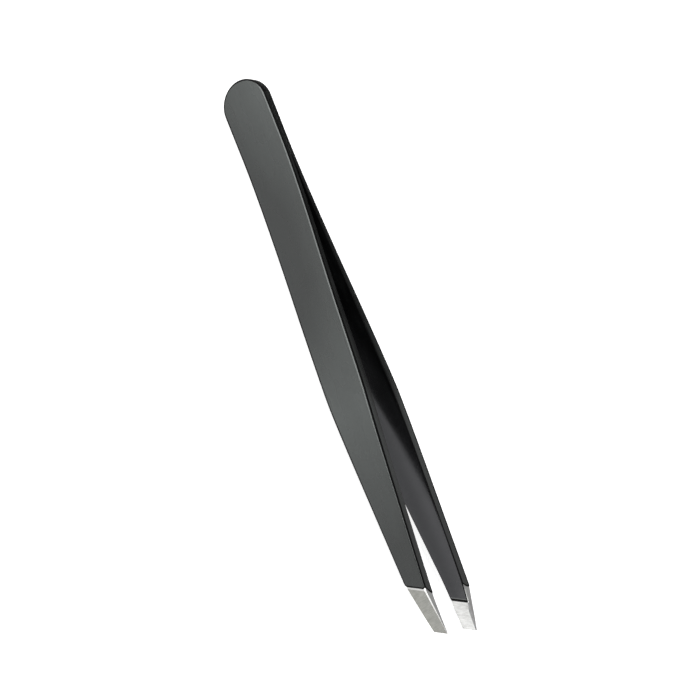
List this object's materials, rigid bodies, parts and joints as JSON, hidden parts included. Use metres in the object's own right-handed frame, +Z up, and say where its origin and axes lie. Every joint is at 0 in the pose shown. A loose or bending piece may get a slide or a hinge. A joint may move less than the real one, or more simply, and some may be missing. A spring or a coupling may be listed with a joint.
{
  "type": "slant tweezers",
  "caption": "Slant-tip tweezers: sprung steel arms welded at a rounded head, with a dark enamel coat and bare ground tips that close when squeezed.",
  "frame": {"origin": "under the middle of the tweezers, on the surface they lie on, midway between the two arms", "axes": "+X from the rounded head to the slanted tips, +Y from the front arm to the rear arm along the squeezing direction, +Z up across the width of the arms, with the longer corner of each slanted tip on top"},
  "size_m": [0.095, 0.0122, 0.0084],
  "materials": {
    "steel": "stainless spring steel, ground to a fine grain where it is bare at the tips",
    "weld_metal": "fused spot weld nuggets, hidden inside the head",
    "enamel": "satin black baked enamel"
  },
  "bodies": {
    "head": {"front_arm_root": "steel", "rear_arm_root": "steel", "head_weld": "weld_metal", "head_enamel": "enamel"},
    "front_arm": {"front_arm_blade": "steel", "front_blade_enamel": "enamel"},
    "rear_arm": {"rear_arm_blade": "steel", "rear_blade_enamel": "enamel"}
  },
  "joints": [
    {"name": "front_arm_flex", "type": "hinge", "parent": "head", "child": "front_arm", "pos_m": [-0.0275, -0.00082, 0.00422], "axis": [0, 0, 1], "range_deg": [0, 2.96], "stiffness_Nm_per_rad": 1.5},
    {"name": "rear_arm_flex", "type": "hinge", "parent": "head", "child": "rear_arm", "pos_m": [-0.0275, 0.00082, 0.00422], "axis": [0, 0, -1], "range_deg": [0, 2.96], "stiffness_Nm_per_rad": 1.5}
  ],
  "couplings": [
    {"joint": "rear_arm_flex", "follows": "front_arm_flex", "ratio": 1}
  ]
}
